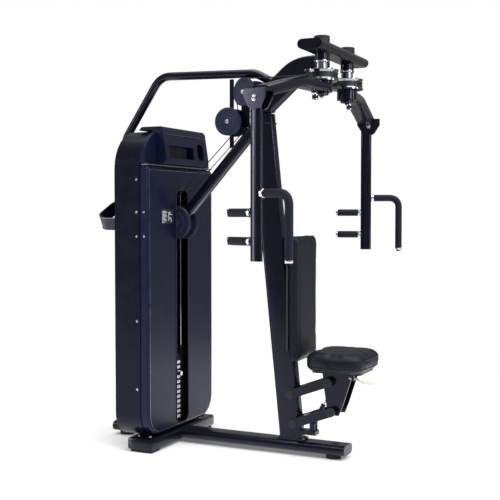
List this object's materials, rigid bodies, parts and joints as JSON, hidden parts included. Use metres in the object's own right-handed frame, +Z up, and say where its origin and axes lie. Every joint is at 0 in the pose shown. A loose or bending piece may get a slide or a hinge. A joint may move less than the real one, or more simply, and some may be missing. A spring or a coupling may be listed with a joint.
{
  "type": "pec deck machine",
  "caption": "Seated fly machine with overhead-pivoted swinging arms, cable drive to an enclosed weight stack, upright back pad and height-adjustable seat",
  "frame": {"origin": "on the floor at the middle of the front foot's underside, straight below the line between the arm pivots", "axes": "+X forward, the way the user faces; +Y to the user's left; +Z up"},
  "size_m": [1.5084, 1.5846, 2.016],
  "materials": {
    "gloss_black_paint": "gloss powder coat",
    "navy_black_panel": "satin moulded panel",
    "chrome": "polished",
    "grip_rubber": "matt",
    "pad_vinyl": "fine-grained upholstery vinyl",
    "pulley_nylon": "machined nylon",
    "plate_iron": "satin black",
    "board": "black-stained plywood",
    "ivory_plastic": "ivory",
    "coated_cable": "black nylon-coated steel cable",
    "placard_print": "printed placard"
  },
  "bodies": {
    "frame": {"base_rail": "gloss_black_paint", "rear_rail": "gloss_black_paint", "front_foot": "grip_rubber", "rear_foot": "grip_rubber", "cross_foot": "gloss_black_paint", "foot_pad_right": "grip_rubber", "foot_pad_left": "grip_rubber", "rear_shroud": "gloss_black_paint", "front_cover": "navy_black_panel", "console": "navy_black_panel", "placard": "placard_print", "tower_frame": "gloss_black_paint", "guide_rod_right": "chrome", "guide_rod_left": "chrome", "stack_bumper_right": "grip_rubber", "stack_bumper_left": "grip_rubber", "resting_plates": "plate_iron", "column": "gloss_black_paint", "gooseneck": "gloss_black_paint", "crossbar": "gloss_black_paint", "roll_bar": "gloss_black_paint", "brace": "gloss_black_paint", "pulley_hanger": "gloss_black_paint", "back_board": "board", "back_pad": "pad_vinyl", "accessory_hoop": "gloss_black_paint", "cable_right": "coated_cable", "cable_left": "coated_cable"},
    "stack": {"stack_head": "plate_iron", "lifted_plates": "plate_iron", "cable_drop_right": "coated_cable", "cable_drop_left": "coated_cable"},
    "selector": {"selector_pin": "chrome"},
    "seat_lower": {"lower_link": "gloss_black_paint"},
    "seat_upper": {"upper_link": "gloss_black_paint"},
    "seat": {"seat_carriage": "gloss_black_paint", "seat_pad": "pad_vinyl"},
    "lever": {"release_lever": "ivory_plastic"},
    "gas_tube": {"gas_cylinder": "gloss_black_paint"},
    "gas_piston": {"gas_rod": "chrome"},
    "spool_right": {"pivot_disc_right": "chrome"},
    "arm_right": {"arm_right": "gloss_black_paint"},
    "pin_right": {"pull_pin_right": "chrome"},
    "handle_right": {"handle_post_right": "gloss_black_paint", "pec_grip_right": "grip_rubber", "rear_grip_upper_right": "grip_rubber", "rear_grip_lower_right": "grip_rubber"},
    "tower_pulley_right": {"tower_pulley_right": "pulley_nylon"},
    "brace_pulley_right": {"brace_pulley_right": "pulley_nylon"},
    "angled_pulley_right": {"angled_pulley_right": "pulley_nylon"},
    "spool_left": {"pivot_disc_left": "chrome"},
    "arm_left": {"arm_left": "gloss_black_paint"},
    "pin_left": {"pull_pin_left": "chrome"},
    "handle_left": {"handle_post_left": "gloss_black_paint", "pec_grip_left": "grip_rubber", "rear_grip_upper_left": "grip_rubber", "rear_grip_lower_left": "grip_rubber"},
    "tower_pulley_left": {"tower_pulley_left": "pulley_nylon"},
    "brace_pulley_left": {"brace_pulley_left": "pulley_nylon"},
    "angled_pulley_left": {"angled_pulley_left": "pulley_nylon"}
  },
  "joints": [
    {"name": "fly_right", "type": "hinge", "parent": "frame", "child": "spool_right", "pos_m": [0, -0.175, 1.8315], "axis": [0, 0, 1], "range_deg": [0, 85]},
    {"name": "start_right", "type": "hinge", "parent": "spool_right", "child": "arm_right", "pos_m": [0, -0.175, 1.78], "axis": [0, 0, 1], "range_deg": [-30, 0]},
    {"name": "pull_pin_right", "type": "slide", "parent": "arm_right", "child": "pin_right", "axis": [0, 0, 1], "range_m": [0, 0.0085]},
    {"name": "handle_swing_right", "type": "hinge", "parent": "arm_right", "child": "handle_right", "pos_m": [-0.06859, -0.72371, 1.672], "axis": [-0.309, -0.9511, 0], "range_deg": [-10, 10]},
    {"name": "tower_pulley_right", "type": "hinge", "parent": "frame", "child": "tower_pulley_right", "pos_m": [-0.8625, -0.042, 1.145], "axis": [0, 1, 0], "range_deg": [0, 78]},
    {"name": "brace_pulley_right", "type": "hinge", "parent": "frame", "child": "brace_pulley_right", "pos_m": [-0.554, -0.042, 1.655], "axis": [0, -1, 0], "range_deg": [0, 99]},
    {"name": "angled_pulley_right", "type": "hinge", "parent": "frame", "child": "angled_pulley_right", "pos_m": [-0.452, -0.068, 1.795], "axis": [0.3814, 0.9244, 0], "range_deg": [0, 99]},
    {"name": "fly_left", "type": "hinge", "parent": "frame", "child": "spool_left", "pos_m": [0, 0.175, 1.8315], "axis": [0, 0, -1], "range_deg": [0, 85]},
    {"name": "start_left", "type": "hinge", "parent": "spool_left", "child": "arm_left", "pos_m": [0, 0.175, 1.78], "axis": [0, 0, -1], "range_deg": [-30, 0]},
    {"name": "pull_pin_left", "type": "slide", "parent": "arm_left", "child": "pin_left", "axis": [0, 0, 1], "range_m": [0, 0.0085]},
    {"name": "handle_swing_left", "type": "hinge", "parent": "arm_left", "child": "handle_left", "pos_m": [-0.06859, 0.72371, 1.672], "axis": [0.309, -0.9511, 0], "range_deg": [-10, 10]},
    {"name": "tower_pulley_left", "type": "hinge", "parent": "frame", "child": "tower_pulley_left", "pos_m": [-0.8625, 0.042, 1.145], "axis": [0, 1, 0], "range_deg": [0, 78]},
    {"name": "brace_pulley_left", "type": "hinge", "parent": "frame", "child": "brace_pulley_left", "pos_m": [-0.554, 0.042, 1.655], "axis": [0, -1, 0], "range_deg": [0, 99]},
    {"name": "angled_pulley_left", "type": "hinge", "parent": "frame", "child": "angled_pulley_left", "pos_m": [-0.452, 0.068, 1.795], "axis": [-0.3814, 0.9244, 0], "range_deg": [0, 99]},
    {"name": "stack_lift", "type": "slide", "parent": "frame", "child": "stack", "axis": [0, 0, 1], "range_m": [0, 0.10954], "deforming": ["cable_drop_right", "cable_drop_left"]},
    {"name": "selector_pull", "type": "slide", "parent": "stack", "child": "selector", "axis": [1, 0, 0], "range_m": [0, 0.095]},
    {"name": "seat_lift", "type": "hinge", "parent": "frame", "child": "seat_lower", "pos_m": [-0.186, 0, 0.163], "axis": [0, -1, 0], "range_deg": [-15, 10]},
    {"name": "seat_upper", "type": "hinge", "parent": "frame", "child": "seat_upper", "pos_m": [-0.202, 0, 0.306], "axis": [0, -1, 0], "range_deg": [-15, 10]},
    {"name": "seat_level", "type": "hinge", "parent": "seat_lower", "child": "seat", "pos_m": [0.013, 0, 0.238], "axis": [0, -1, 0], "range_deg": [-10, 15]},
    {"name": "gas_tube", "type": "hinge", "parent": "frame", "child": "gas_tube", "pos_m": [-0.105, 0, 0.15], "axis": [0, -1, 0], "range_deg": [-12, 8]},
    {"name": "gas_piston", "type": "hinge", "parent": "seat", "child": "gas_piston", "pos_m": [-0.012, 0, 0.338], "axis": [0, -1, 0], "range_deg": [-12, 8]},
    {"name": "lever_lift", "type": "hinge", "parent": "seat", "child": "lever", "pos_m": [0.12, -0.06, 0.4077], "axis": [-1, 0, 0], "range_deg": [0, 8], "stiffness_Nm_per_rad": 1.2, "springref_deg": -20.05}
  ],
  "couplings": [
    {"joint": "fly_left", "follows": "fly_right", "ratio": 1},
    {"joint": "stack_lift", "follows": "fly_right", "m_per_rad": 0.0735},
    {"joint": "tower_pulley_right", "follows": "fly_right", "ratio": 0.89091},
    {"joint": "brace_pulley_right", "follows": "fly_right", "ratio": 1.1395},
    {"joint": "angled_pulley_right", "follows": "fly_right", "ratio": 1.1395},
    {"joint": "tower_pulley_left", "follows": "fly_right", "ratio": 0.89091},
    {"joint": "brace_pulley_left", "follows": "fly_right", "ratio": 1.1395},
    {"joint": "angled_pulley_left", "follows": "fly_right", "ratio": 1.1395},
    {"joint": "seat_upper", "follows": "seat_lift", "ratio": 1},
    {"joint": "seat_level", "follows": "seat_lift", "ratio": -1},
    {"joint": "gas_tube", "follows": "seat_lift", "ratio": 0.765},
    {"joint": "gas_piston", "follows": "seat_lift", "ratio": 0.765}
  ]
}
